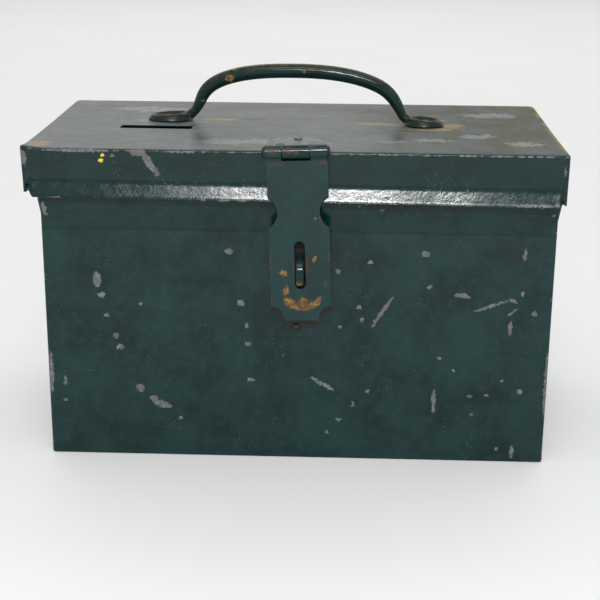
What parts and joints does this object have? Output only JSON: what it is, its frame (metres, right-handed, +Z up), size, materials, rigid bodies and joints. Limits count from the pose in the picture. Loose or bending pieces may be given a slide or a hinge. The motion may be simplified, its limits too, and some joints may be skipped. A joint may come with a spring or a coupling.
{
  "type": "donation box",
  "caption": "Rectangular sheet-steel donation box with an overhanging hinged lid, a coin slot, a fixed arched carrying handle and a hasp and staple at the front.",
  "frame": {"origin": "centre of the body's base, on the surface the box stands on", "axes": "+X to the right seen from the front, +Y to the rear, +Z up; the hasp faces -Y"},
  "size_m": [0.366, 0.2222, 0.2676],
  "materials": {
    "green_enamel": "grey-green gloss enamel on steel sheet, chipped and rubbed at the folds",
    "worn_green_enamel": "the same enamel on the hasp, worn brown on its edges and rusted at the foot",
    "browned_steel": "bare steel, browned with age",
    "dark_pin_steel": "dark steel wire with traces of paint"
  },
  "bodies": {
    "box": {"body_wrapper": "green_enamel", "back_panel": "green_enamel", "bottom_pan": "green_enamel", "staple": "worn_green_enamel", "staple_plate": "browned_steel", "staple_plate_rivet_1": "browned_steel", "staple_plate_rivet_2": "browned_steel", "staple_plate_rivet_3": "browned_steel", "staple_plate_rivet_4": "browned_steel", "hinge_body_leaf_left": "green_enamel", "hinge_body_leaf_right": "green_enamel", "hinge_body_rivet_1": "green_enamel", "hinge_body_rivet_2": "green_enamel", "hinge_body_rivet_3": "green_enamel", "hinge_body_rivet_4": "green_enamel", "hinge_pin_left": "dark_pin_steel", "hinge_pin_right": "dark_pin_steel"},
    "lid": {"lid_shell": "green_enamel", "handle": "green_enamel", "handle_rivet_1": "green_enamel", "handle_rivet_2": "green_enamel", "hasp_leaf": "worn_green_enamel", "hasp_leaf_rivet_1": "worn_green_enamel", "hasp_leaf_rivet_2": "worn_green_enamel", "hasp_leaf_rivet_3": "worn_green_enamel", "hasp_pin": "dark_pin_steel", "hinge_lid_leaf_left": "green_enamel", "hinge_lid_leaf_right": "green_enamel", "hinge_lid_rivet_1": "green_enamel", "hinge_lid_rivet_2": "green_enamel", "hinge_lid_rivet_3": "green_enamel", "hinge_lid_rivet_4": "green_enamel"},
    "hasp": {"hasp_strap": "worn_green_enamel"}
  },
  "joints": [
    {"name": "lid_hinge", "type": "hinge", "parent": "box", "child": "lid", "pos_m": [0, 0.10125, 0.19], "axis": [-1, 0, 0], "range_deg": [0, 165]},
    {"name": "hasp_hinge", "type": "hinge", "parent": "lid", "child": "hasp", "pos_m": [-0.0012, -0.1065, 0.225], "axis": [-0.9993, 0, -0.0366], "range_deg": [0, 240]}
  ]
}
